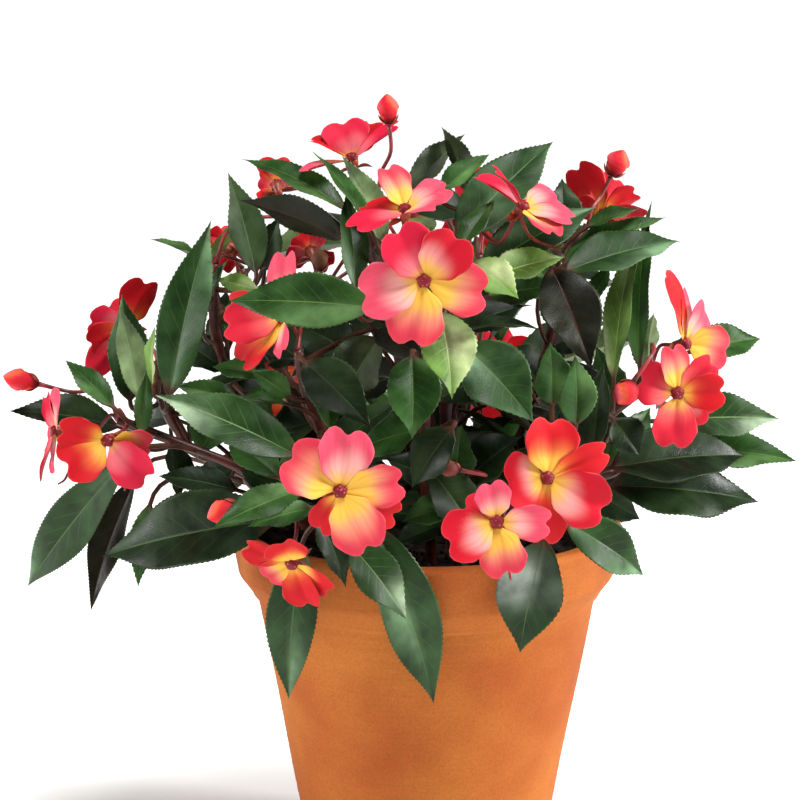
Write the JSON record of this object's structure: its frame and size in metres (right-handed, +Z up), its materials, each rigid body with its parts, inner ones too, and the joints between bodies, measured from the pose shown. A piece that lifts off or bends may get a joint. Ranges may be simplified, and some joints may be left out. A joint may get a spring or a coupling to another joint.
{
  "type": "potted busy lizzie",
  "caption": "Bushy flowering plant with serrated leaves and coral blooms, in a tapered terracotta pot that stands on its flat foot.",
  "frame": {"origin": "centre of the underside of the pot's foot", "axes": "+Z up along the pot's axis, -Y towards the picture's viewer, +X to the viewer's right"},
  "size_m": [0.4025, 0.3072, 0.3996],
  "materials": {
    "terracotta": "matt unglazed fired clay",
    "potting_soil": "matt crumbly compost",
    "leaf_green": "satin leaves on dull red-brown stems",
    "petal_coral": "soft matt petals",
    "bud_coral": "satin closed bud"
  },
  "bodies": {
    "root": {"pot": "terracotta", "soil": "potting_soil", "stem_far_left": "leaf_green", "stem_left_up": "leaf_green", "stem_left_mid": "leaf_green", "stem_low_left": "leaf_green", "stem_front_left": "leaf_green", "stem_mid_left": "leaf_green", "stem_centre": "leaf_green", "stem_top_left": "leaf_green", "stem_top_right": "leaf_green", "stem_right_top": "leaf_green", "stem_right_mid": "leaf_green", "stem_right_low": "leaf_green", "stem_front_right": "leaf_green", "stem_inner": "leaf_green", "stem_back_right": "leaf_green", "stem_back_low": "leaf_green", "stem_back_centre": "leaf_green", "stem_back_left": "leaf_green", "stem_back_high": "leaf_green", "stem_back_side": "leaf_green", "bloom_centre": "petal_coral", "bloom_upper_centre": "petal_coral", "bloom_upper_right": "petal_coral", "bloom_top": "petal_coral", "bloom_top_right": "petal_coral", "bloom_front_left": "petal_coral", "bloom_front_middle": "petal_coral", "bloom_front_right": "petal_coral", "bloom_right": "petal_coral", "bloom_right_back": "petal_coral", "bloom_left": "petal_coral", "bloom_left_edge": "petal_coral", "bloom_low_left": "petal_coral", "bloom_mid_left": "petal_coral", "bloom_left_back": "petal_coral", "bloom_inner_left": "petal_coral", "bloom_far_top_left": "petal_coral", "bloom_inner_top": "petal_coral", "bloom_back_centre": "petal_coral", "bloom_back_low": "petal_coral", "bloom_back_left": "petal_coral", "bud_top": "bud_coral", "bud_top_right": "bud_coral", "bud_left": "bud_coral", "bud_low_left": "bud_coral", "bud_right": "bud_coral", "bud_inner_top": "bud_coral", "bud_inner": "bud_coral", "bud_back_right": "bud_coral"}
  },
  "joints": []
}
